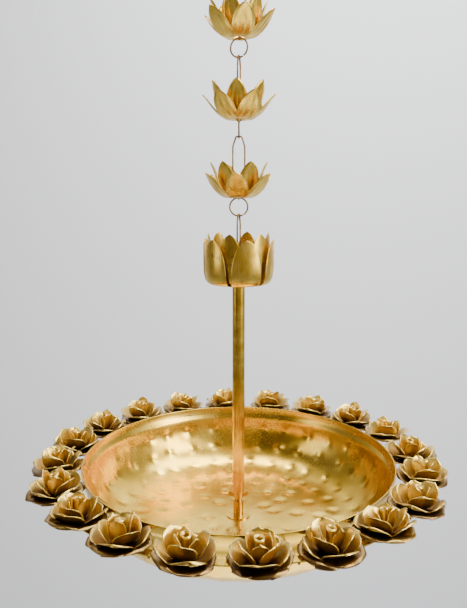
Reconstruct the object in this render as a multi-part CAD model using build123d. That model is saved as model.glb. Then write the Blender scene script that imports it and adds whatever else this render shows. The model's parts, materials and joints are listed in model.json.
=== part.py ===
"""Hanging brass flower bowl: a hammered bowl ringed with sheet roses, hung on a rod and a chain of
wire links and rings that carries three small lotus flowers.  Millimetres, +Z up.  The origin is the
hanging point: the inside top of the hook, where a ceiling peg or rail carries the whole object."""
from build123d import *
from math import cos, sin, radians, degrees, atan2
import os

# ---- hook -----------------------------------------------------------------------------------
HOOK_WIRE = 3.0            # wire diameter
HOOK_BEND = 11.5           # centre-line radius of the open crook
HOOK_SHANK = 8.0           # straight wire below the crook
HOOK_EYE = 5.0             # centre-line radius of the closed eye
HOOK_SWEEP = 255.0         # degrees of the crook's arc
HOOK_TIP_ANGLE = -30.0     # where the crook's open tip starts
HOOK_KNEE = 6.0            # bend between crook and shank

# ---- chain ----------------------------------------------------------------------------------
CHAIN_WIRE = 1.5           # wire of the links and rings
CHAIN_GAP = 0.05           # clearance where one wire hangs in the next
LINK_LENGTH = 57.0         # centre line of the top bend to centre line of the bottom bend
LINK_WIDTH = 11.0          # between the centre lines of the two legs
LINK_CROWN = 5.0           # width of the narrow crown that hangs in the ring above
LINK_SHOULDER = 9.0        # how far down the crown opens to the full width
LINK_STRAIGHT = 23.0       # parallel length of the legs
LINK_TAIL = 10.0           # straight length of the narrow bottom bend
LINK_FOOT = 4.0            # width of the bottom bend, which goes through a flower's hole
LINK_BEND = 8.0            # bends at the shoulders and the knees
LINK_NECK_BEND = 4.0       # bends where the legs reach the tail
LINK_SPLIT = 0.4           # gap where the wire's two ends meet
RING_HEIGHT = 18.2         # outer diameter of a ring
RING_SPLIT = 6.0           # degrees left open in each ring
RING_RISE = 1.2            # how far a ring's crown stands up into the flower's hole

# turns about Z of each link's crown, each link's foot and each ring, from the top down
LINK_CROWN_YAW = (0.0, 76.0, 0.0, 75.0)
LINK_FOOT_YAW = (90.0, 0.0, 90.0, 0.0)
RING_YAW = (-25.0, 90.0, 0.0)
EYE_YAW = 90.0             # turn about Z of the eye on the rod

# ---- lotus flowers and cup --------------------------------------------------------------------
SHEET = 0.7                # brass sheet of the lotuses and the cup
PETALS = 6
LOTUS_HOLE = 5.9           # radius of the hole the link's foot hangs through
LOTUS_DISC = 10.5          # radius of the flat middle
LOTUS_OUTER = (33.5, 22.0, 9.8)    # tip radius, tip height, half width of an outer petal
LOTUS_INNER = (27.0, 32.0, 9.6)
LOTUS_BEND = 4.0           # bend between a lotus's middle and its petals
CUP_DISC = 25.0            # radius of the cup's flat base
CUP_OUTER = (33.2, 43.0, 13.4)
CUP_INNER = (29.0, 47.5, 11.5)
CUP_BEND = 7.0             # bend between the cup's base and its petals
LOTUS_TURN = (10.0, 25.0, -5.0)    # turn about Z of each lotus
CUP_TURN = 13.0
LOTUS_STEP = 1.5           # how much smaller a lotus's inner disc is
CUP_STEP = 3.0             # how much smaller the cup's inner disc is
PETAL_ROOT = 0.82          # width of a petal's root, as a share of its greatest width
PETAL_CROWDING = 0.55      # greatest half width of a root, as a share of the disc's radius
PETAL_BELLY = 0.42         # where a petal is widest, as a share of its length

# ---- rod, wing nut and stud --------------------------------------------------------------------
ROD_RADIUS = 6.0
ROD_WALL = 0.9
ROD_LENGTH = 210.0
PLUG_LENGTH = 16.0
EYE_WIRE = 2.0
EYE_BEND = 4.0             # centre-line radius of the eye on top of the rod
THREAD = 3.0               # radius of the stud's thread
EYE_SHANK = 2.0            # radius of the eye's threaded shank
EYE_SHANK_LENGTH = 11.0
EYE_SHOULDER = 3.2         # radius of the shoulder that clamps the cup
RUNNING = 0.05             # radial clearance of a thread or pin in its hole
NUT_INSET = 0.8            # how much smaller the nut's hub is than the rod it seats
NUT_HEIGHT = 9.6
NUT_FOOT = 1.4             # height of the nut's foot, below its neck
NUT_NECK = 3.0             # height of the turned-in neck
NUT_NECK_RADIUS = 4.0
WING_REACH = 4.3           # how far a wing stands out beyond the rod
WING_THICK = 1.6
WING_LET_IN = 0.6          # how deep a wing is let into the hub
WING_RISE = 1.0            # how far a wing's shoulder stands above the end of the rod
WING_TIP = (3.0, 2.0)      # how far the tip's curve starts and ends inside the wing's reach
WING_DROP = (1.6, 4.0)     # the tip's widest point and its lower end, below the end of the rod
WING_GAP = (0.8, 0.4)      # gaps between a wing and the rod: below its end, beside its wall
STUD_RADIUS = 5.0
STUD_LENGTH = 14.0         # plain stretch between washer and nut
STUD_THREAD_LENGTH = 9.0   # thread above the nut, inside the rod
WASHER_RADIUS = 12.0
WASHER_THICK = 1.2

# ---- bowl ------------------------------------------------------------------------------------
RIM_RADIUS = 152.5
BOWL_DEPTH = 62.5          # rim to the inside of the floor
BOWL_WALL = 1.2
LIP_HEIGHT = 8.0           # plain band below the rim
LIP_FLARE = 1.0            # how much wider the band is at the rim than at its foot
LIP_STEP = 3.0             # the step in below the band
WALL_LEAN = 3.5            # how much the wall leans in before it turns into the floor
CORNER_RADIUS = 50.0       # wide bend between wall and floor
LIP_BEND = 1.5             # bends above and below the step

# ---- rose wreath ------------------------------------------------------------------------------
ROSES = 20
WREATH_GAP = 23.2          # from the bowl's rim to the circle the roses stand on
ROSE_PHASE = 4.8           # turn of the first rose from the back, towards -X
ROSE_TURN = 137.5          # how far each rose is turned from the one before it
ROSE_FOOT = -8.0           # underside of the roses, from the rim plane
ROSE_SHEET = 0.5
ROSE_LAYERS = (            # petals, edge radius, edge height, radius of the flat middle, turn
    (5, 26.9, 13.0, 8.0, 0.0),
    (4, 20.0, 20.5, 6.0, 20.0),
    (3, 12.5, 25.5, 5.5, 50.0),
)
ROSE_CUPPING = (2.0, 0.3)  # where a petal turns up: past half its run, and at this share of its rise
ROSE_BENDS = (2.5, 6.0)    # bends at the flat middle and where a petal turns up
ROSE_PETAL = 0.62          # half length of a petal's oval, as a share of its edge radius
BUD_RADIUS = 4.6
BUD_HEIGHT = 28.0
RIVET = 1.5                # radius of a rose's rivet
RIVET_HEAD = 2.8
RIVET_HEAD_HEIGHT = 1.0
HOOP_WIDTH = 8.0
HOOP_THICK = 1.2
STRUTS = 10
STRUT_WIRE = 2.0
STRUT_BEND = 1.6
SOLDER = 0.4               # how far a strut's ends sink into bowl and hoop

# ---- heights, from the hanging point down -------------------------------------------------------
hook_centre_z = HOOK_WIRE / 2 - HOOK_BEND
hook_axis_z = hook_centre_z - HOOK_BEND * 2 ** 0.5
hook_eye_z = hook_axis_z - HOOK_SHANK - HOOK_EYE
wire_step = CHAIN_WIRE + CHAIN_GAP
ring_drop = RING_HEIGHT - CHAIN_WIRE
first_crown_z = hook_eye_z - HOOK_EYE + (HOOK_WIRE + CHAIN_WIRE) / 2 + CHAIN_GAP
chain_pitch = LINK_LENGTH - wire_step + ring_drop - wire_step
link_crown_z = [first_crown_z - i * chain_pitch for i in range(4)]
ring_crown_z = [z - LINK_LENGTH + wire_step for z in link_crown_z[:3]]
lotus_z = [z + CHAIN_WIRE / 2 - RING_RISE for z in ring_crown_z]
eye_crown_z = link_crown_z[3] - LINK_LENGTH + (CHAIN_WIRE + EYE_WIRE) / 2 + CHAIN_GAP
cup_z = eye_crown_z - 2 * EYE_BEND - EYE_WIRE / 2 - 2 * SHEET
rod_bottom_z = cup_z - ROD_LENGTH
nut_bottom_z = rod_bottom_z - NUT_HEIGHT
washer_z = nut_bottom_z - STUD_LENGTH
floor_z = washer_z - WASHER_THICK
rim_z = floor_z + BOWL_DEPTH
rose_z = rim_z + ROSE_FOOT
hoop_z = rose_z - HOOP_THICK
wreath_radius = RIM_RADIUS + WREATH_GAP
nut_radius = ROD_RADIUS - NUT_INSET


def tube(radius, bore, bottom, top):
    """An upright tube, or a plain bar when the bore is zero."""
    bar = Pos(0, 0, bottom) * extrude(Circle(radius), top - bottom)
    return bar - Pos(0, 0, bottom) * extrude(Circle(bore), top - bottom) if bore else bar


def wire_along(path, diameter):
    """Round wire swept along a path."""
    start = Plane(origin=path @ 0, z_dir=path % 0)
    return sweep(start * Circle(diameter / 2), path=path)


def revolved_sheet(points, radii, thick):
    """Sheet metal spun about Z along rounded (radius, height) corners; the first is a hole's edge."""
    (hole, height), *rest = points
    line = FilletPolyline((hole + thick / 2, height), *rest, radius=radii)
    face = make_face(offset(line, thick / 2, side=Side.BOTH, closed=True))
    return revolve(Plane.XZ * face, Axis.Z)


def hook():
    """The ceiling hook: an open crook, a shank and a closed eye, bent in one plane."""
    crook = CenterArc((0, hook_centre_z), HOOK_BEND, HOOK_TIP_ANGLE, HOOK_SWEEP)
    shank = FilletPolyline(crook @ 1, (0, hook_axis_z), (0, hook_eye_z + HOOK_EYE), radius=HOOK_KNEE)
    body = wire_along(Plane.YZ * Wire(crook.edges() + shank.edges()), HOOK_WIRE)
    eye = Pos(0, 0, hook_eye_z) * Rot(0, 90, 0) * Torus(HOOK_EYE, HOOK_WIRE / 2)
    return body + eye


def link(index):
    """A long wire link: narrow crown, two straight legs, and a foot turned to face the other way."""
    half, crown, foot = LINK_WIDTH / 2, LINK_CROWN / 2, LINK_FOOT / 2
    leg_end = -LINK_SHOULDER - LINK_STRAIGHT
    neck = -LINK_LENGTH + LINK_TAIL
    upper, lower = radians(LINK_CROWN_YAW[index]), radians(LINK_FOOT_YAW[index])

    def on(angle, across, height):
        return Vector(across * cos(angle), across * sin(angle), height)

    left_knee, left_neck = on(upper, -half, leg_end), on(lower, -foot, neck)
    split = LINK_SPLIT / 2 / (left_neck - left_knee).length
    corners = [
        left_knee + (left_neck - left_knee) * (0.5 - split),
        left_knee,
        on(upper, -half, -LINK_SHOULDER),
        on(upper, -crown, 0),
        on(upper, crown, 0),
        on(upper, half, -LINK_SHOULDER),
        on(upper, half, leg_end),
        on(lower, foot, neck),
        on(lower, foot, -LINK_LENGTH),
        on(lower, -foot, -LINK_LENGTH),
        left_neck,
        left_knee + (left_neck - left_knee) * (0.5 + split),
    ]
    crowns, feet = [crown * 0.8] * 2, [foot * 0.95] * 2
    bends = [LINK_BEND] * 2 + crowns + [LINK_BEND] * 2 + [LINK_NECK_BEND] + feet + [LINK_NECK_BEND]
    path = FilletPolyline(*corners, radius=bends)
    return Pos(0, 0, link_crown_z[index]) * wire_along(path, CHAIN_WIRE)


def chain_ring(index):
    """A round wire ring, hanging in the link above, its ends not quite closed."""
    radius = ring_drop / 2
    arc = CenterArc((0, -radius), radius, -60 + RING_SPLIT / 2, 360 - RING_SPLIT)
    ring = wire_along(Plane.XZ * arc, CHAIN_WIRE)
    return Pos(0, 0, ring_crown_z[index]) * Rot(0, 0, RING_YAW[index]) * ring


def petal_outline(length, half_width, root_half_width):
    """A pointed oval petal, standing on a straight root."""
    belly = length * PETAL_BELLY
    right = ThreePointArc((root_half_width, 0), (half_width, belly), (0, length))
    left = ThreePointArc((0, length), (-half_width, belly), (-root_half_width, 0))
    root = Line((-root_half_width, 0), (root_half_width, 0))
    return make_face([right, left, root])


def petal_disc(hole, disc, tip, bend, foot_z, turn, thick=SHEET):
    """One stamped disc: a flat middle with a hole, and petals bent up from its edge."""
    tip_radius, tip_height, half_width = tip
    knee = (disc, foot_z + thick / 2)
    end = (tip_radius, foot_z + tip_height)
    shell = revolved_sheet([(hole, knee[1]), knee, end], bend, thick)
    run, rise = end[0] - knee[0], end[1] - knee[1]
    length = (run * run + rise * rise) ** 0.5
    tilt = degrees(atan2(rise, run))
    root = min(half_width * PETAL_ROOT, disc * PETAL_CROWDING)
    blank = extrude(petal_outline(length + bend * 0.4, half_width, root), disc * 0.8, both=True)
    upright = Rot(0, 0, 90) * Rot(90, 0, 0) * blank
    standing = Pos(disc - bend * 0.3, 0, foot_z) * Rot(0, 90 - tilt, 0) * upright
    middle = tube(disc - bend * 0.5 + thick, 0, foot_z - thick, foot_z + 2 * thick)
    stencil = middle + [Rot(0, 0, turn - 90 + i * 360 / PETALS) * standing for i in range(PETALS)]
    return shell & stencil


def lotus_outer(index):
    return petal_disc(LOTUS_HOLE, LOTUS_DISC, LOTUS_OUTER, LOTUS_BEND, lotus_z[index], LOTUS_TURN[index])


def lotus_inner(index):
    turn = LOTUS_TURN[index] + 180 / PETALS
    disc, foot_z = LOTUS_DISC - LOTUS_STEP, lotus_z[index] + SHEET
    return petal_disc(LOTUS_HOLE, disc, LOTUS_INNER, LOTUS_BEND, foot_z, turn)


def cup_outer():
    return petal_disc(EYE_SHANK + RUNNING, CUP_DISC, CUP_OUTER, CUP_BEND, cup_z, CUP_TURN)


def cup_inner():
    turn = CUP_TURN + 180 / PETALS
    disc, foot_z = CUP_DISC - CUP_STEP, cup_z + SHEET
    return petal_disc(EYE_SHANK + RUNNING, disc, CUP_INNER, CUP_BEND, foot_z, turn)


def rod_eye():
    """The eye on top of the rod, with the threaded shank that clamps the cup to the rod."""
    centre = eye_crown_z - EYE_BEND
    ring = Pos(0, 0, centre) * Rot(0, 0, EYE_YAW) * Rot(90, 0, 0) * Torus(EYE_BEND, EYE_WIRE / 2)
    shoulder = tube(EYE_SHOULDER, 0, cup_z + 2 * SHEET, centre - EYE_BEND)
    shank = tube(EYE_SHANK, 0, cup_z - EYE_SHANK_LENGTH, centre - EYE_BEND)
    return ring + shoulder + shank


def rod_plug(bottom, bore):
    """A plug soldered into one end of the rod, threaded for the eye or for the stud."""
    return tube(ROD_RADIUS - ROD_WALL, bore + RUNNING, bottom, bottom + PLUG_LENGTH)


def wing_nut():
    """The wing nut that locks rod and stud: a round hub with two raised lobes."""
    hub = tube(nut_radius, THREAD + RUNNING, nut_bottom_z, rod_bottom_z)
    neck_z = nut_bottom_z + NUT_FOOT + NUT_NECK
    hub -= tube(nut_radius + 1, NUT_NECK_RADIUS, nut_bottom_z + NUT_FOOT, neck_z)
    root, reach = nut_radius - WING_LET_IN, ROD_RADIUS + WING_REACH
    below, beside = rod_bottom_z - WING_GAP[0], ROD_RADIUS + WING_GAP[1]
    shoulder = (reach - WING_TIP[0], rod_bottom_z + WING_RISE)
    tip = (reach, rod_bottom_z - WING_DROP[0])
    under = (reach - WING_TIP[1], rod_bottom_z - WING_DROP[1])
    lobe = Plane.XZ * make_face([
        Line((root, neck_z), (root, below)),
        Line((root, below), (beside, below)),
        Line((beside, below), shoulder),
        ThreePointArc(shoulder, tip, under),
        Line(under, (root, neck_z)),
    ])
    wing = extrude(lobe, WING_THICK / 2, both=True)
    return hub + wing + Rot(0, 0, 180) * wing


def stud():
    """The stud on the bowl's floor: spigot peened flush below, plain bar, then a thread."""
    spigot = tube(THREAD, 0, floor_z - BOWL_WALL, washer_z)
    bar = tube(STUD_RADIUS, 0, washer_z, nut_bottom_z)
    thread = tube(THREAD, 0, nut_bottom_z, rod_bottom_z + STUD_THREAD_LENGTH)
    return spigot + bar + thread


def bowl():
    """The bowl: a flat floor, a wide corner, a leaning wall, a step and a plain lip band."""
    half = BOWL_WALL / 2
    lip_foot = RIM_RADIUS - half - LIP_FLARE
    wall_top = lip_foot - LIP_STEP
    corners = [
        (THREAD + RUNNING, floor_z - half),
        (wall_top - WALL_LEAN, floor_z - half),
        (wall_top, rim_z - LIP_HEIGHT - LIP_STEP),
        (lip_foot, rim_z - LIP_HEIGHT),
        (RIM_RADIUS - half, rim_z - half),
    ]
    wall_height = BOWL_DEPTH - LIP_HEIGHT - LIP_STEP
    corner = min(CORNER_RADIUS, wall_height - LIP_BEND / 2)    # the bend ends below the step
    return revolved_sheet(corners, [corner, LIP_BEND, LIP_BEND], BOWL_WALL)


def rose_hoop():
    """The flat hoop that carries the roses, drilled for a rivet under each."""
    hoop = Pos(0, 0, hoop_z) * extrude(
        Circle(wreath_radius + HOOP_WIDTH / 2) - Circle(wreath_radius - HOOP_WIDTH / 2),
        HOOP_THICK,
    )
    holes = [place * tube(RIVET + RUNNING, 0, -HOOP_THICK - 1, 1) for place in rose_places()]
    return hoop - holes


def hoop_struts():
    """Round wire struts that hold the hoop off the bowl's wall, soldered at both ends."""
    wall = RIM_RADIUS - BOWL_WALL - LIP_FLARE - LIP_STEP
    low = rim_z - LIP_HEIGHT - LIP_STEP - STRUT_WIRE
    high = hoop_z - STRUT_WIRE / 2 + SOLDER
    path = FilletPolyline(
        (wall + BOWL_WALL - SOLDER, low),
        (wreath_radius - HOOP_WIDTH, low),
        (wreath_radius - HOOP_WIDTH / 2, high),
        (wreath_radius + HOOP_WIDTH / 2, high),
        radius=STRUT_BEND,
    )
    strut = wire_along(Plane.XZ * path, STRUT_WIRE)
    step = 360 / STRUTS
    first = 90 + ROSE_PHASE + 180 / ROSES
    return Compound([Rot(0, 0, first + i * step) * strut for i in range(STRUTS)])


def rose_places():
    """Where each rose stands: on the wreath's circle, its foot on the hoop."""
    step = 360 / ROSES
    turns = [90 + ROSE_PHASE - i * step for i in range(ROSES)]
    return [Rot(0, 0, turn) * Pos(wreath_radius, 0, rose_z) for turn in turns]


def rose_layer(petals, edge_radius, edge_height, root, turn, foot_z):
    """One stamped layer of a rose: round petals cupped up around a flat middle."""
    out, up = ROSE_CUPPING
    floor = foot_z + ROSE_SHEET / 2
    cupping = ((root + edge_radius) / 2 + out, foot_z + (edge_height - foot_z) * up)
    line = [(RIVET + RUNNING, floor), (root, floor), cupping, (edge_radius, edge_height)]
    shell = revolved_sheet(line, [*ROSE_BENDS], ROSE_SHEET)
    length = edge_radius * ROSE_PETAL
    oval = Ellipse(length, edge_radius * sin(radians(180 / petals)))
    petal = Pos(edge_radius - length + ROSE_SHEET, 0) * oval
    outline = Circle(root + 1) + [Rot(0, 0, turn + i * 360 / petals) * petal for i in range(petals)]
    return shell & extrude(outline, BUD_HEIGHT)


def rose():
    """A rose: three stamped layers of petals and a rolled bud, all on one rivet."""
    layers = [rose_layer(*layer, i * ROSE_SHEET) for i, layer in enumerate(ROSE_LAYERS)]
    bud = tube(BUD_RADIUS, BUD_RADIUS - ROSE_SHEET, len(layers) * ROSE_SHEET, BUD_HEIGHT)
    return Compound([*layers, bud])


def rose_rivets():
    """One rivet under each rose, headed below the hoop and peened inside the bud."""
    head = tube(RIVET_HEAD, 0, -HOOP_THICK - RIVET_HEAD_HEIGHT, -HOOP_THICK)
    top = len(ROSE_LAYERS) * ROSE_SHEET
    shank = tube(RIVET, 0, -HOOP_THICK, top)
    peen = tube(RIVET_HEAD, 0, top, top + RIVET_HEAD_HEIGHT)
    rivet = head + shank + peen
    return Compound([place * rivet for place in rose_places()])


def build():
    """Every node of the object, by name."""
    nodes = {"ceiling_hook": hook()}
    for i, name in enumerate(("top", "upper", "lower")):
        nodes[f"link_{name}"] = link(i)
        nodes[f"ring_{name}"] = chain_ring(i)
        nodes[f"lotus_{name}_outer"] = lotus_outer(i)
        nodes[f"lotus_{name}_inner"] = lotus_inner(i)
    nodes["link_cup"] = link(3)
    nodes["rod_eye"] = rod_eye()
    nodes["cup_outer_petals"] = cup_outer()
    nodes["cup_inner_petals"] = cup_inner()
    nodes["rod_tube"] = tube(ROD_RADIUS, ROD_RADIUS - ROD_WALL, rod_bottom_z, cup_z)
    nodes["rod_top_plug"] = rod_plug(cup_z - PLUG_LENGTH, EYE_SHANK)
    nodes["rod_bottom_plug"] = rod_plug(rod_bottom_z, THREAD)
    nodes["wing_nut"] = wing_nut()
    nodes["stud"] = stud()
    nodes["floor_washer"] = tube(WASHER_RADIUS, THREAD + RUNNING, floor_z, washer_z)
    nodes["bowl"] = bowl()
    nodes["rose_hoop"] = rose_hoop()
    nodes["hoop_struts"] = hoop_struts()
    nodes["rose_rivets"] = rose_rivets()
    flower = rose()
    for i, place in enumerate(rose_places()):
        nodes[f"rose_{i + 1:02d}"] = place * Rot(0, 0, i * ROSE_TURN) * flower
    return nodes


os.makedirs("parts", exist_ok=True)
for name, shape in build().items():
    export_step(shape, f"parts/{name}.step")
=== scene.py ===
"""Hanging brass flower bowl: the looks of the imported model, laid out as an add-on."""
import json
import math
import random
import bmesh
import bpy
from bpy.props import FloatProperty, FloatVectorProperty, IntProperty, PointerProperty
from mathutils import Matrix, Vector


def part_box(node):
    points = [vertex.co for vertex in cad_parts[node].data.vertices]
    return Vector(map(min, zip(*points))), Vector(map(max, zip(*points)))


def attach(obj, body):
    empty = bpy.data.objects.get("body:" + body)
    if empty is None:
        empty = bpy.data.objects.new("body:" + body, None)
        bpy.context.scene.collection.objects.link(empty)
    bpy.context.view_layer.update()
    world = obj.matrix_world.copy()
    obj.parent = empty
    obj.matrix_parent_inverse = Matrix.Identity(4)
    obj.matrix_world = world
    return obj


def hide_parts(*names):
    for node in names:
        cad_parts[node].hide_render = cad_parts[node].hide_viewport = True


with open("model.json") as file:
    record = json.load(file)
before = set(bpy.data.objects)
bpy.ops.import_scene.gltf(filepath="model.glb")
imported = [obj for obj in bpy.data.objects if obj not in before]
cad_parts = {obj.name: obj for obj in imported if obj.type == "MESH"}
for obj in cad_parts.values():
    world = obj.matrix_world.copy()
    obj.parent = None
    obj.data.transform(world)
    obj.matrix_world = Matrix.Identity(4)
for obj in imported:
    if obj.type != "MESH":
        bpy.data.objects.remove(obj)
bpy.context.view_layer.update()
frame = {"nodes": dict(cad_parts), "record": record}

bl_info = {
    "name": "Hanging Flower Bowl",
    "version": (1, 0, 0),
    "blender": (4, 5, 0),
    "location": "View3D > Sidebar > Flower Bowl",
    "description": "Hammered bowl, sheet roses, lotus flowers and their brass finishes",
    "category": "Object",
}

MM = 0.001
BOWL_LOW, BOWL_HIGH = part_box("bowl")
ROSE_NODES = sorted(n for n in frame["nodes"] if n.startswith("rose_") and n[5:].isdigit())
LOTUS_NAMES = ("top", "upper", "lower")


# ---- sizes and colours a user would change ---------------------------------------------------

def length(name, description, default):
    return FloatProperty(name=name, description=description, default=default * MM, unit="LENGTH")


def colour(name, description, default):
    return FloatVectorProperty(name=name, description=description, default=default, subtype="COLOR")


class BowlSettings(bpy.types.PropertyGroup):
    rim_radius: length("Rim radius", "Outside of the lip", BOWL_HIGH[0] / MM)
    depth: length("Depth", "Rim to the underside of the floor", (BOWL_HIGH[2] - BOWL_LOW[2]) / MM)
    wall: length("Wall", "Thickness of the sheet", 1.2)
    lip: length("Lip height", "Plain band below the rim", 8.0)
    flare: length("Lip flare", "How much wider the lip is at the rim", 1.0)
    step: length("Step", "How far the wall steps in below the lip", 3.0)
    lean: length("Lean", "How much the wall leans in", 3.5)
    corner: length("Corner radius", "Bend between wall and floor", 50.0)
    hole: length("Hole radius", "Hole for the stud's spigot", 3.05)
    blow_depth: length("Blow depth", "Depth of a hammer blow", 1.5)
    blow_width: length("Blow width", "Radius of a hammer blow", 4.3)
    blows: IntProperty(name="Blows", description="Hammer blows round each row", default=32)


class RoseSettings(bpy.types.PropertyGroup):
    sheet: length("Sheet", "Thickness of the petals", 0.5)
    spread: length("Spread", "Radius of the outer petals", 24.3)
    height: length("Height", "Top of the petals above the rose's foot", 24.5)
    tilt: FloatProperty(name="Tilt", description="Most a rose may lean", default=0.12, subtype="ANGLE")


class LotusSettings(bpy.types.PropertyGroup):
    sheet: length("Sheet", "Thickness of the stamped discs", 0.6)
    petals: IntProperty(name="Petals", description="Petals on each disc", default=6)
    groove: length("Groove", "Depth of the stamped veins", 0.45)


class FinishSettings(bpy.types.PropertyGroup):
    gold: colour("Gold", "Bright brass", (0.82, 0.56, 0.085))
    pale: colour("Pale", "Rubbed edges and high spots", (0.91, 0.70, 0.24))
    amber: colour("Amber", "Deeper brass in the hollows", (0.60, 0.36, 0.03))
    # umber also paints the shade at the roses' hearts
    umber: colour("Umber", "Browned wire and tarnish", (0.20, 0.11, 0.045))


SETTINGS = {
    "flower_bowl": BowlSettings,
    "flower_roses": RoseSettings,
    "flower_lotuses": LotusSettings,
    "flower_finishes": FinishSettings,
}


def settings(name):
    return getattr(bpy.context.scene, name)


# ---- shader maths ---------------------------------------------------------------------------

class Shade:
    """A socket in a material's node tree; arithmetic on it adds Math nodes."""

    def __init__(self, tree, socket):
        self.tree, self.socket = tree, socket

    def maths(self, operation, *values):
        return self.tree.node("Math", {"operation": operation}, dict(enumerate(values)))

    def __add__(self, other):
        return self.maths("ADD", self, other)

    def __radd__(self, other):
        return self.maths("ADD", other, self)

    def __rsub__(self, other):
        return self.maths("SUBTRACT", other, self)

    def __mul__(self, other):
        return self.maths("MULTIPLY", self, other)

    def __rmul__(self, other):
        return self.maths("MULTIPLY", other, self)

    def part(self, axis):
        return self.tree.node("SeparateXYZ", {}, {"Vector": self}, output=axis)


class Tree:
    """A node tree: every node comes from node(), which sets its settings first, then its sockets."""

    def __init__(self, nodes, links):
        self.nodes, self.links = nodes, links

    def node(self, kind, options=None, sockets=None, output=0):
        made = self.nodes.new("ShaderNode" + kind)
        for key, value in (options or {}).items():
            setattr(made, key, value)
        for key, value in (sockets or {}).items():
            if isinstance(value, Shade):
                self.links.new(value.socket, made.inputs[key])
            else:
                made.inputs[key].default_value = value
        return Shade(self, made.outputs[output]) if len(made.outputs) else made

    def noise(self, vector, scale, detail=3.0, rough=0.5):
        sockets = {"Vector": vector, "Scale": scale, "Detail": detail, "Roughness": rough}
        return self.node("TexNoise", {}, sockets)

    def stretched(self, vector, scale):
        return self.node("Mapping", {}, {"Vector": vector, "Scale": scale})

    def mixed(self, factor, first, second):
        return self.node("Mix", {"data_type": "RGBA"}, {0: factor, 6: first, 7: second}, output=2)

    def band(self, value, low, high):
        sockets = {"Value": value, "From Min": low, "From Max": high}
        return self.node("MapRange", {"interpolation_type": "SMOOTHSTEP"}, sockets)


def material(name, paint):
    """A brass material; paint(tree, place) returns colour, roughness, bump height and bump depth."""
    made = bpy.data.materials.new(name)
    made.use_nodes = True
    made.node_tree.nodes.clear()
    tree = Tree(made.node_tree.nodes, made.node_tree.links)
    place = tree.node("TexCoord", {}, {}, output="Object")
    tint, rough, height, depth = paint(tree, place)
    bump = tree.node("Bump", {}, {"Height": height, "Strength": 1.0, "Distance": depth})
    shader = tree.node("BsdfPrincipled", {}, {
        "Base Color": tint, "Roughness": rough, "Normal": bump, "Metallic": 1.0,
    })
    tree.node("OutputMaterial", {}, {"Surface": shader})
    return made


def rgba(name):
    return (*getattr(settings("flower_finishes"), name), 1.0)


PLAIN_LIP = 9 * MM          # the plain band's depth below the rim
HAMMERED_BELOW = 12 * MM    # where the hammering is at its full depth
ROSE_FOOT = 8 * MM          # the roses' feet, below the rim
HEART_SHADE_FULL = 3 * MM         # painted shade at a rose's heart: darkest below this height above its foot and no painted shade above this one
HEART_SHADE_END = 20 * MM       # and clear of tarnish above this one


def hammered_finish(tree, place):
    """Hammered satin brass: soft blows and fine planishing marks below a plain lip."""
    rim = BOWL_HIGH[2]
    below_lip = 1 - tree.band(place.part("Z"), rim - HAMMERED_BELOW, rim - PLAIN_LIP)
    clouds = tree.noise(place, 16.0, 4.0)
    fine = tree.noise(place, 420.0, 3.0)
    cells = {"Vector": place, "Scale": 70.0, "Smoothness": 0.8}
    marks = tree.node("TexVoronoi", {"feature": "SMOOTH_F1"}, cells)
    tint = tree.mixed(tree.band(clouds, 0.35, 0.7), rgba("amber"), rgba("gold"))
    rough = 0.17 + 0.14 * clouds + 0.05 * fine
    return tint, rough, marks * below_lip + 0.12 * fine, 0.20 * MM


def rose_finish(tree, place):
    """Satin sheet: rolled streaks, warm tarnish in patches, paler rubbed spots and painted shade at
    the heart.
    """
    patches = tree.noise(place, 55.0, 4.0)
    streaks = tree.noise(tree.stretched(place, (260.0, 260.0, 60.0)), 3.0, 2.0)
    tarnish = tree.band(patches, 0.52, 0.74)
    tint = tree.mixed(tree.band(streaks, 0.3, 0.8), rgba("gold"), rgba("pale"))
    tint = tree.mixed(tarnish * 0.75, tint, rgba("amber"))
    foot = BOWL_HIGH[2] - ROSE_FOOT
    # painted shade: the rose turns umber towards its foot, where its petals shade the heart; the noise
    # breaks up the edge
    height = place.part("Z") + 6 * MM * patches
    heart_shade = 1 - tree.band(height, foot + HEART_SHADE_FULL, foot + HEART_SHADE_END)
    tint = tree.mixed(heart_shade * 0.95, tint, rgba("umber"))
    return tint, 0.20 + 0.14 * patches + 0.10 * streaks, streaks + 0.8 * patches, 0.18 * MM


def lotus_finish(tree, place):
    """Stamped sheet: faint grain up the petals, a little tarnish and soft unevenness."""
    patches = tree.noise(place, 70.0, 3.0)
    grain = tree.noise(tree.stretched(place, (500.0, 500.0, 40.0)), 2.0, 2.0)
    tint = tree.mixed(tree.band(patches, 0.38, 0.7), rgba("gold"), rgba("amber"))
    tint = tree.mixed(tree.band(grain, 0.5, 0.85) * 0.6, tint, rgba("pale"))
    tint = tree.mixed(tree.band(tree.noise(place, 160.0, 4.0), 0.60, 0.72) * 0.5, tint, rgba("umber"))
    return tint, 0.18 + 0.16 * patches + 0.08 * grain, grain * 0.5 + patches, 0.22 * MM


def turned_finish(tree, place):
    """Drawn and turned bar: fine drawing lines along Z, light handling marks."""
    lines = tree.noise(tree.stretched(place, (900.0, 900.0, 18.0)), 2.0, 2.0)
    marks = tree.noise(place, 90.0, 3.0)
    tint = tree.mixed(tree.band(marks, 0.35, 0.75), rgba("amber"), rgba("gold"))
    return tint, 0.13 + 0.12 * lines + 0.10 * marks, lines, 0.05 * MM


def wire_finish(tree, place):
    """Browned wire: dark tarnish worn back to brass in places."""
    worn = tree.noise(place, 240.0, 3.0)
    pits = tree.noise(place, 1500.0, 2.0)
    tint = tree.mixed(tree.band(worn, 0.45, 0.75), rgba("umber"), rgba("amber"))
    return tint, 0.26 + 0.22 * worn, pits + worn, 0.06 * MM


FINISHES = {        # how each material slot is painted
    "hammered_bowl": hammered_finish,
    "rose_sheet": rose_finish,
    "lotus_sheet": lotus_finish,
    "plain_brass": turned_finish,
    "chain_wire": wire_finish,
}


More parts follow.
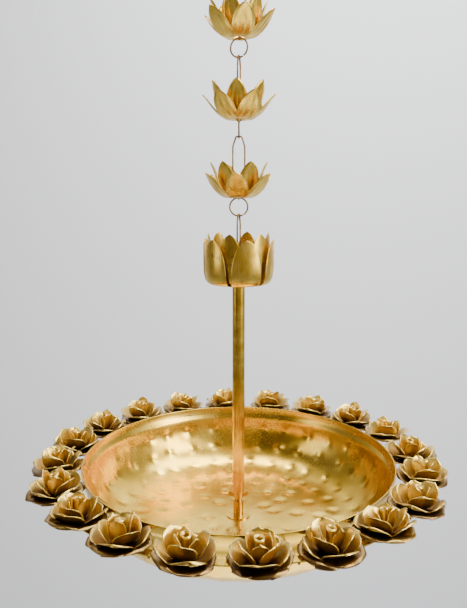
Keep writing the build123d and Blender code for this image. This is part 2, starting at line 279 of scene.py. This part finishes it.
def finish(slot):
    return bpy.data.materials.get(slot + "_finish") or material(slot + "_finish", FINISHES[slot])


# ---- modelling helpers ------------------------------------------------------------------------

WELD = 0.02 * MM            # vertices closer than this are one
STEM = 3 * MM               # least radius that a petal wraps around
RUFFLE_WAVES = 3.5          # waves across a ruffled petal
VEIN_WAVES = 3.2            # stamped veins across a petal
VEIN_END = 1.15             # the veins end this far short of the tip
BUD_TURNS = 2.2             # turns of the rolled strip
BUD_OUTER = 3.6 * MM
BUD_INNER = 1.5 * MM
BUD_FLARE = 0.7 * MM        # how far its top leans out
BUD_SCALLOP = 2.2 * MM      # how much its top edge rises and falls
BUD_FOOT = 1.6 * MM


def new_piece(name, bm, slot, body, nodes, thick=0.0, smooth=0):
    """Turns a bmesh into a finished piece that stands for CAD nodes and rides on their body."""
    bmesh.ops.remove_doubles(bm, verts=bm.verts, dist=WELD)
    bmesh.ops.recalc_face_normals(bm, faces=bm.faces)
    for face in bm.faces:
        face.smooth = True
    mesh = bpy.data.meshes.new(name)
    bm.to_mesh(mesh)
    bm.free()
    piece = bpy.data.objects.new(name, mesh)
    bpy.context.collection.objects.link(piece)
    mesh.materials.append(finish(slot))
    if smooth:
        rounding = piece.modifiers.new("rounding", "SUBSURF")
        rounding.levels = rounding.render_levels = smooth
    if thick:
        sheet = piece.modifiers.new("sheet", "SOLIDIFY")
        sheet.thickness, sheet.offset = thick, 0.0
    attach(piece, body)
    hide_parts(*nodes)
    return piece


def curve_at(controls, u):
    """A point on the Bezier curve through the control points' hull."""
    points = [Vector(c) for c in controls]
    while len(points) > 1:
        points = [a.lerp(b, u) for a, b in zip(points, points[1:])]
    return points[0]


def petal_width(u, root, belly, point):
    """Share of the full half width at u: root at 0, widest at belly, closing to a tip at 1."""
    if u < belly:
        return root + (1 - root) * math.sin(u / belly * math.pi / 2)
    return (1 - ((u - belly) / (1 - belly)) ** 2) ** point


def add_petal(bm, shape, turn, place, cuts=(12, 10)):
    """A sheet petal: a grid laid along a (radius, height) curve, wrapped round the stem's axis."""
    grid = bmesh.ops.create_grid(bm, x_segments=cuts[0], y_segments=cuts[1], size=0.5)
    wrap = shape.get("wrap", 1.0)
    for vert in grid["verts"]:
        u, v = vert.co.x + 0.5, vert.co.y * 2
        radius, height = curve_at(shape["curve"], u)
        across = v * shape["half"] * petal_width(u, shape["root"], shape["belly"], shape["point"])
        angle = across / max(radius, STEM) * wrap
        flat = across * (1 - wrap)
        edge = abs(v) ** 3 * u
        radius += edge * shape.get("curl", 0.0) + v * u * shape.get("lap", 0.0)
        ruffle = shape.get("ruffle", 0.0) * u * math.sin(v * RUFFLE_WAVES + turn * 3)
        height += ruffle - edge * shape.get("droop", 0.0)
        along = math.sin(math.pi * min(1, u * VEIN_END)) ** 2
        radius += shape.get("groove", 0.0) * math.cos(v * math.pi * VEIN_WAVES) * along
        vert.co = Vector((radius * math.cos(angle), radius * math.sin(angle) + flat, height))
    bmesh.ops.rotate(bm, verts=grid["verts"], matrix=Matrix.Rotation(turn, 3, "Z"))
    bmesh.ops.transform(bm, verts=grid["verts"], matrix=place)


def add_disc(bm, hole, edge, height, place, steps=36):
    """A flat washer spun about the stem's axis."""
    ends = [bm.verts.new((hole, 0, height)), bm.verts.new((edge, 0, height))]
    side = bm.edges.new(ends)
    spun = bmesh.ops.spin(bm, geom=ends + [side], cent=(0, 0, 0), axis=(0, 0, 1), dvec=(0, 0, 0),
                          angle=math.tau, steps=steps, use_merge=True)
    faces = {f for e in spun["geom_last"] if isinstance(e, bmesh.types.BMVert) for f in e.link_faces}
    ring, front = set(faces), list(faces)
    while front:
        near = {g for e in front.pop().edges for g in e.link_faces} - ring
        ring |= near
        front += near
    verts = list({v for f in ring for v in f.verts})
    bmesh.ops.transform(bm, verts=verts, matrix=place)


def add_bud(bm, height, place, turn):
    """The rolled strip at a rose's heart, open at the top like a scroll."""
    grid = bmesh.ops.create_grid(bm, x_segments=44, y_segments=6, size=0.5)
    for vert in grid["verts"]:
        along, up = vert.co.x + 0.5, vert.co.y + 0.5
        radius = BUD_INNER + (BUD_OUTER - BUD_INNER) * along + BUD_FLARE * up * up
        angle = turn + along * BUD_TURNS * math.tau
        top = height - BUD_SCALLOP * abs(math.sin(angle * 0.5))
        rise = BUD_FOOT + up * (top - BUD_FOOT)
        vert.co = Vector((radius * math.cos(angle), radius * math.sin(angle), rise))
    bmesh.ops.transform(bm, verts=grid["verts"], matrix=place)


# ---- bowl -------------------------------------------------------------------------------------

BLOW_ROWS = ((38, 147, 0), (21, 136, 0.15), (8, 119, 0.3), (1, 98, 0.5))   # height, radius, offset
FEWER_ON_FLOOR = 4          # blows left out of a row that lies on the floor
FLOOR_EDGE = 110            # a row inside this radius lies on the floor
FLOOR_RINGS = ((78, 18), (56, 13), (34, 8))     # radius and number of blows
SECTORS = 36                # the blows are sorted into this many sectors, to find the near ones
BLOW_REACH = 2.2            # a blow is felt this many of its widths away
FLOOR_SKIN = 2.5 * MM       # below this height the sheet is floor, and dents straight down
EASE = 0.3 * MM             # small bends at the lip
ROUND = 0.8 * MM            # larger bends at the lip
CORNER_STEPS = 30
FLOOR_STEPS = 34


def bowl_line(b, inset):
    """Corner to corner of the bowl's section, inset from its outer side, as (radius, height)."""
    rim, low = BOWL_HIGH[2], BOWL_LOW[2]
    foot = b.rim_radius - b.flare
    wall_top = foot - b.step
    line = [
        (b.rim_radius - inset, rim),
        (b.rim_radius - inset, rim - EASE),
        (foot - inset, rim - b.lip + ROUND),
        (foot - inset - EASE, rim - b.lip),
        (wall_top - inset + EASE, rim - b.lip - b.step),
        (wall_top - inset, rim - b.lip - b.step - ROUND),
    ]
    corner = b.corner - inset
    lean = math.atan2(b.lean, b.depth - b.lip - b.step)
    centre_z = low + b.corner
    start_r = wall_top - b.lean * 0.05
    centre_r = start_r - b.corner / math.cos(lean) + b.corner * (1 - math.cos(lean))
    for i in range(CORNER_STEPS + 1):
        angle = -lean - (math.pi / 2 - lean) * i / CORNER_STEPS
        line.append((centre_r + corner * math.cos(angle), centre_z + corner * math.sin(angle)))
    edge = line[-1][0]
    inward = (b.hole - edge) / FLOOR_STEPS
    line += [(edge + inward * i, low + inset) for i in range(1, FLOOR_STEPS + 1)]
    return line


def blow_pattern(b):
    """Places of the hammer blows: rows up the corner and the wall, then looser rings on the floor."""
    draw = random.Random(7)
    low = BOWL_LOW[2]
    blows = []
    for height, radius, offset in BLOW_ROWS:
        count = b.blows - (FEWER_ON_FLOOR if radius < FLOOR_EDGE else 0)
        for i in range(count):
            angle = (i + offset + draw.uniform(-0.12, 0.12)) * math.tau / count
            reach = (radius + draw.uniform(-2, 2)) * MM
            blows.append(Vector((reach * math.cos(angle), reach * math.sin(angle), low + height * MM)))
    for radius, count in FLOOR_RINGS:
        for i in range(count):
            angle = (i + draw.uniform(-0.3, 0.3)) * math.tau / count
            reach = (radius + draw.uniform(-4, 4)) * MM
            blows.append(Vector((reach * math.cos(angle), reach * math.sin(angle), low)))
    return blows


def sector_of(place):
    return int(math.atan2(place.y, place.x) / math.tau * SECTORS)


def hammer(bm, b):
    """Dents the sheet outwards under each blow, both of its sides alike."""
    reach = b.blow_width * BLOW_REACH
    middle = Vector((0, 0, BOWL_HIGH[2] - 5 * MM))
    lip = BOWL_HIGH[2] - 13 * MM
    spots = {}
    for blow in blow_pattern(b):
        spots.setdefault(sector_of(blow) % SECTORS, []).append(blow)
    for vert in bm.verts:
        if vert.co.z > lip:
            continue
        sector = sector_of(vert.co)
        near = [s for k in (-2, -1, 0, 1, 2) for s in spots.get((sector + k) % SECTORS, [])]
        gaps = [(vert.co - s).length for s in near]
        depth = sum(math.exp(-(gap / b.blow_width) ** 2) for gap in gaps if gap < reach)
        if not depth:
            continue
        push = depth * b.blow_depth
        room = vert.co.z - BOWL_LOW[2]
        if room > FLOOR_SKIN:
            vert.co += (vert.co - middle).normalized() * push
        else:
            vert.co.z -= min(push, room * 0.8)


class FLOWER_OT_bowl(bpy.types.Operator):
    """Spin the bowl's section, hammer it and give it its finish"""
    bl_idname = "flower.bowl"
    bl_label = "Hammered Bowl"

    def execute(self, context):
        b = settings("flower_bowl")
        bm = bmesh.new()
        section = bowl_line(b, 0.0) + bowl_line(b, b.wall)[::-1]
        verts = [bm.verts.new((r, 0, z)) for r, z in section]
        edges = [bm.edges.new((a, c)) for a, c in zip(verts, verts[1:] + verts[:1])]
        bmesh.ops.spin(bm, geom=verts + edges, cent=(0, 0, 0), axis=(0, 0, 1), dvec=(0, 0, 0),
                       angle=math.tau, steps=360, use_merge=True)
        hammer(bm, b)
        new_piece("hammered_bowl", bm, "hammered_bowl", "bowl", ["bowl"])
        return {"FINISHED"}


# ---- roses --------------------------------------------------------------------------------------

ROSE_LAYERS = (             # petals, half width, profile, width of the root, curl, turn of the first
    (5, 0.66, [(0.10, 0.0), (0.50, 0.0), (0.80, 0.14), (0.98, 0.24), (1.04, 0.10)], 0.35, 0.02, 0.0),
    (4, 0.60, [(0.10, 0.02), (0.44, 0.02), (0.70, 0.10), (0.84, 0.50), (0.96, 0.46)], 0.35, 0.03, 0.5),
    (3, 0.48, [(0.09, 0.04), (0.34, 0.04), (0.54, 0.18), (0.56, 0.66), (0.72, 0.74)], 0.4, 0.03, 1.1),
    (3, 0.28, [(0.09, 0.06), (0.24, 0.06), (0.34, 0.26), (0.30, 0.78), (0.40, 0.90)], 0.5, 0.02, 0.3),
)
ROSE_DISC = (1.6 * MM, 8 * MM)      # hole and edge of a rose's flat middle
GOLDEN_TURN = 2.4                   # how far the way a rose leans is turned from the last, in radians
BUD_SHARE = 0.86                    # the bud's height, as a share of the petals'


def rose_layers(r, draw):
    """The petals of one rose, from the spread outer ones to the upright heart."""
    s, h = r.spread, r.height
    layers = []
    for count, half, profile, root, curl, first in ROSE_LAYERS:
        for i in range(count):
            grow = draw.uniform(0.90, 1.02)
            lift = draw.uniform(0.86, 1.10)
            curve = [(x * s * (grow if x > 0.5 else 1), z * h * lift) for x, z in profile]
            turn = first + (i + draw.uniform(-0.07, 0.07)) * math.tau / count
            layers.append((turn, {
                "curve": curve, "half": half * s, "root": root, "belly": 0.62, "point": 0.42,
                "wrap": 0.72, "curl": curl * s, "lap": draw.uniform(0.0, 0.04) * s,
                "ruffle": draw.uniform(-0.9, 0.9) * MM, "droop": draw.uniform(0.0, 2.2) * MM,
            }))
    return layers


class FLOWER_OT_roses(bpy.types.Operator):
    """Bend the roses of the wreath, each a little different"""
    bl_idname = "flower.roses"
    bl_label = "Sheet Roses"

    def execute(self, context):
        r = settings("flower_roses")
        for index, node in enumerate(ROSE_NODES):
            draw = random.Random(100 + index)
            low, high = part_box(node)
            middle = Vector(((low[0] + high[0]) / 2, (low[1] + high[1]) / 2, low[2] + r.sheet / 2))
            way = index * GOLDEN_TURN
            lean = Matrix.Rotation(draw.uniform(-r.tilt, r.tilt), 4, (math.cos(way), math.sin(way), 0))
            spin = Matrix.Rotation(draw.uniform(0, math.tau), 4, "Z")
            place = Matrix.Translation(middle) @ lean @ spin
            bm = bmesh.new()
            add_disc(bm, *ROSE_DISC, 0.0, place, 24)
            for turn, shape in rose_layers(r, draw):
                add_petal(bm, shape, turn, place)
            add_bud(bm, r.height * BUD_SHARE, place, draw.uniform(0, math.tau))
            new_piece(f"sheet_{node}", bm, "rose_sheet", "bowl", [node], r.sheet, 1)
        return {"FINISHED"}


# ---- lotuses and cup ---------------------------------------------------------------------------

LOTUS_TURNS = (10, 25, -5)          # degrees each small lotus is turned, from the top one down
LOTUS_DISCS = (                     # disc's edge, petals' tip radius, tip height and half width, in mm
    ("outer", 9.5, 33.5, 22, 10.6),
    ("inner", 8.5, 26.5, 31.5, 10.2),
)
LOTUS_HOLE = 5.9 * MM
PETAL_START = 2.5 * MM              # a petal starts this far inside the edge of its disc
PETAL_CURL = 1.2 * MM               # how far the sides of a petal bend in
CUP_TURN = 13                       # degrees
CUP_HOLE = 2.1 * MM
CUP_DISCS = (                       # radius, height and half width of the cup's petals, in mm
    ("outer", 33.0, 43.0, 14.6),
    ("inner", 29.0, 47.5, 12.4),
)


def stamped_disc(name, node, body, shape, hole, disc, turn):
    """One stamped disc of petals that stands for a CAD disc."""
    t = settings("flower_lotuses")
    low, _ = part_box(node)
    place = Matrix.Translation((0, 0, low[2] + t.sheet / 2))
    bm = bmesh.new()
    add_disc(bm, hole, disc, 0.0, place)
    for i in range(t.petals):
        add_petal(bm, shape, turn + (i - t.petals / 4) * math.tau / t.petals, place, (22, 26))
    return new_piece(name, bm, "lotus_sheet", body, [node], t.sheet)


def lotus_shape(disc, tip_radius, tip_height, half, groove):
    run, rise = tip_radius - disc, tip_height
    curve = [
        (disc - PETAL_START, 0),
        (disc + run * 0.30, 0),
        (disc + run * 0.62, rise * 0.42),
        (disc + run * 0.80, rise * 0.78),
        (tip_radius, rise),
    ]
    return {"curve": curve, "half": half, "root": 0.55, "belly": 0.45, "point": 0.80,
            "wrap": 0.45, "curl": -PETAL_CURL, "groove": groove}


def cup_shape(base, radius, height, half):
    curve = [
        ((base - 4) * MM, 0),
        ((base + 6) * MM, 0),
        ((radius + 1.5) * MM, 0),
        (radius * MM, height * 0.45 * MM),
        (radius * MM, height * 0.75 * MM),
        (radius * MM, height * MM),
    ]
    return {"curve": curve, "half": half * MM, "root": 0.80, "belly": 0.50, "point": 0.66,
            "wrap": 1.0, "curl": 0.0, "groove": 0.0}


class FLOWER_OT_lotuses(bpy.types.Operator):
    """Stamp the lotus flowers that hang on the chain"""
    bl_idname = "flower.lotuses"
    bl_label = "Lotus Flowers"

    def execute(self, context):
        t = settings("flower_lotuses")
        for name, degrees in zip(LOTUS_NAMES, LOTUS_TURNS):
            turn = math.radians(degrees)
            for side, edge, radius, height, half in LOTUS_DISCS:
                shape = lotus_shape(edge * MM, radius * MM, height * MM, half * MM, t.groove)
                piece, node = f"stamped_{name}_{side}", f"lotus_{name}_{side}"
                stamped_disc(piece, node, f"lotus_{name}", shape, LOTUS_HOLE, edge * MM, turn)
                turn += math.pi / t.petals
        return {"FINISHED"}


class FLOWER_OT_cup(bpy.types.Operator):
    """Bend the lotus cup that sits on top of the rod"""
    bl_idname = "flower.cup"
    bl_label = "Lotus Cup"

    def execute(self, context):
        t = settings("flower_lotuses")
        turn = math.radians(CUP_TURN)
        for side, radius, height, half in CUP_DISCS:
            base = radius - 8
            shape = cup_shape(base, radius, height, half)
            node = f"cup_{side}_petals"
            stamped_disc(f"cup_sheet_{side}", node, "bowl", shape, CUP_HOLE, (base - 3) * MM, turn)
            turn += math.pi / t.petals
        return {"FINISHED"}


class FLOWER_OT_metalwork(bpy.types.Operator):
    """Give the wire, rod, nut, stud and hoop their finishes"""
    bl_idname = "flower.metalwork"
    bl_label = "Wire and Rod"

    def execute(self, context):
        slots = {s["node"]: s["material_slot"] for s in frame["record"]["subparts"]}
        for name, node in frame["nodes"].items():
            node.data.materials.clear()
            node.data.materials.append(finish(slots[name]))
        return {"FINISHED"}


# ---- stage ---------------------------------------------------------------------------------------

PAPER = (0.80, 0.82, 0.85)          # colour of floor and backdrop
FLOOR_DROP = 1.6                    # from the bowl's underside down to the floor
BACKDROP_Y = 1.9
MIDDLE = (0, 0, -0.38)              # what most of the lights aim at
LIGHTS = (                          # name, place, aim, size, power, colour
    ("left_box", (-1.5, -0.5, 0.1), MIDDLE, (0.4, 1.4), 7, (1.0, 0.98, 0.95)),
    ("right_box", (1.35, -0.7, 0.35), MIDDLE, (0.6, 1.6), 48, (1.0, 0.97, 0.93)),
    ("low_box", (0.1, -0.4, -1.9), (0, 0, -0.52), (2.0, 1.6), 26, (1.0, 0.97, 0.92)),
    ("top_box", (-0.2, 0.5, 1.2), MIDDLE, (0.9, 0.5), 13, (1.0, 0.99, 0.97)),
    ("wall_wash", (0.7, 0.5, 1.6), (0.75, 1.9, -0.2), (2.0, 1.2), 105, (0.97, 0.98, 1.0)),
)
SKY_LOW = (0.50, 0.42, 0.33, 1)
SKY_HIGH = (0.14, 0.11, 0.09, 1)
SKY_RIGHT = (0.95, 0.93, 0.90, 1)
SKY_LEFT = (0.10, 0.06, 0.04, 1)
SKY_STRENGTH = 0.75
SENSOR_HEIGHT = 24.0                # mm
LENS = 25.18                        # mm
CAMERA_PITCH = 9.30                 # degrees below level
CAMERA_PLACE = (-0.028, -3.423, 1.389)      # from the centre of the rose circle, in its radii
ROSE_CIRCLE_RISE = 7.4 * MM         # the middle of the roses, above the rim


def stage_material(name, tint, rough=0.9):
    made = bpy.data.materials.new(name)
    made.use_nodes = True
    tree = made.node_tree
    shader = tree.nodes["Principled BSDF"]
    shader.inputs["Base Color"].default_value = (*tint, 1)
    shader.inputs["Roughness"].default_value = rough
    return made


def stage_card(name, size, place, tint):
    bm = bmesh.new()
    bmesh.ops.create_grid(bm, x_segments=1, y_segments=1, size=0.5)
    bmesh.ops.scale(bm, vec=(size[0], size[1], 1), verts=bm.verts)
    bmesh.ops.transform(bm, matrix=place, verts=bm.verts)
    mesh = bpy.data.meshes.new(name)
    bm.to_mesh(mesh)
    bm.free()
    card = bpy.data.objects.new(name, mesh)
    bpy.context.collection.objects.link(card)
    mesh.materials.append(stage_material(name + "_paint", tint))
    return card


def soft_light(name, place, aim, size, power, tint):
    data = bpy.data.lights.new(name, "AREA")
    data.shape, data.size, data.size_y = "RECTANGLE", size[0], size[1]
    data.energy, data.color = power, tint
    lamp = bpy.data.objects.new(name, data)
    lamp.location = place
    lamp.rotation_euler = (Vector(aim) - Vector(place)).to_track_quat("-Z", "Y").to_euler()
    bpy.context.collection.objects.link(lamp)


def studio_world():
    """A dim room: warm below, dark above and to the left, bright to the right."""
    world = bpy.data.worlds.new("studio")
    world.use_nodes = True
    world.node_tree.nodes.clear()
    tree = Tree(world.node_tree.nodes, world.node_tree.links)
    way = tree.node("TexCoord", {}, {}, output="Generated")
    up = tree.band(way.part("Z"), -0.2, 0.7)
    bright = tree.band(way.part("X"), 0.1, 0.9)
    dark = tree.band(way.part("X"), 0.0, -0.8)
    sky = tree.mixed(up, SKY_LOW, SKY_HIGH)
    sky = tree.mixed(bright * 0.7, sky, SKY_RIGHT)
    sky = tree.mixed(dark * 0.85, sky, SKY_LEFT)
    glow = tree.node("Background", {}, {"Color": sky, "Strength": SKY_STRENGTH})
    tree.node("OutputWorld", {}, {"Surface": glow})
    return world


def front_camera():
    """The camera, placed by the rose circle's radius and looking slightly down."""
    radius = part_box("rose_hoop")[1][0] - 4 * MM
    data = bpy.data.cameras.new("camera")
    data.sensor_fit, data.sensor_height, data.lens = "VERTICAL", SENSOR_HEIGHT, LENS
    camera = bpy.data.objects.new("camera", data)
    centre = Vector((0, 0, BOWL_HIGH[2] + ROSE_CIRCLE_RISE))
    camera.location = centre + Vector(CAMERA_PLACE) * radius
    camera.rotation_euler = (math.radians(90 - CAMERA_PITCH), 0, 0)
    bpy.context.collection.objects.link(camera)
    return camera


class FLOWER_OT_stage(bpy.types.Operator):
    """Set the pale floor, the soft studio light and the camera"""
    bl_idname = "flower.stage"
    bl_label = "Stage"

    def execute(self, context):
        floor_z = BOWL_LOW[2] - FLOOR_DROP
        stage_card("floor", (14, 14), Matrix.Translation((0, 0, floor_z)), PAPER)
        wall = Matrix.Translation((0, BACKDROP_Y, 0)) @ Matrix.Rotation(math.pi / 2, 4, "X")
        stage_card("backdrop", (14, 8), wall, PAPER)
        for light in LIGHTS:
            soft_light(*light)
        context.scene.world = studio_world()
        context.scene.camera = front_camera()
        return {"FINISHED"}


class FLOWER_PT_panel(bpy.types.Panel):
    """Lists the pieces of the flower bowl"""
    bl_label = "Flower Bowl"
    bl_idname = "FLOWER_PT_panel"
    bl_space_type = "VIEW_3D"
    bl_region_type = "UI"
    bl_category = "Flower Bowl"

    def draw(self, context):
        for operator in OPERATORS:
            self.layout.operator(operator.bl_idname)
        for name, group in SETTINGS.items():
            box = self.layout.box()
            for key in group.__annotations__:
                box.prop(getattr(context.scene, name), key)


OPERATORS = (
    FLOWER_OT_stage, FLOWER_OT_metalwork, FLOWER_OT_bowl,
    FLOWER_OT_roses, FLOWER_OT_lotuses, FLOWER_OT_cup,
)
CLASSES = (*SETTINGS.values(), *OPERATORS, FLOWER_PT_panel)


def register():
    for cls in CLASSES:
        bpy.utils.register_class(cls)
    for name, group in SETTINGS.items():
        setattr(bpy.types.Scene, name, PointerProperty(type=group))


def unregister():
    for name in SETTINGS:
        delattr(bpy.types.Scene, name)
    for cls in reversed(CLASSES):
        bpy.utils.unregister_class(cls)


def main():
    register()
    bpy.ops.flower.stage()
    bpy.ops.flower.metalwork()
    bpy.ops.flower.bowl()
    bpy.ops.flower.roses()
    bpy.ops.flower.lotuses()
    bpy.ops.flower.cup()


if __name__ == "__main__":
    main()
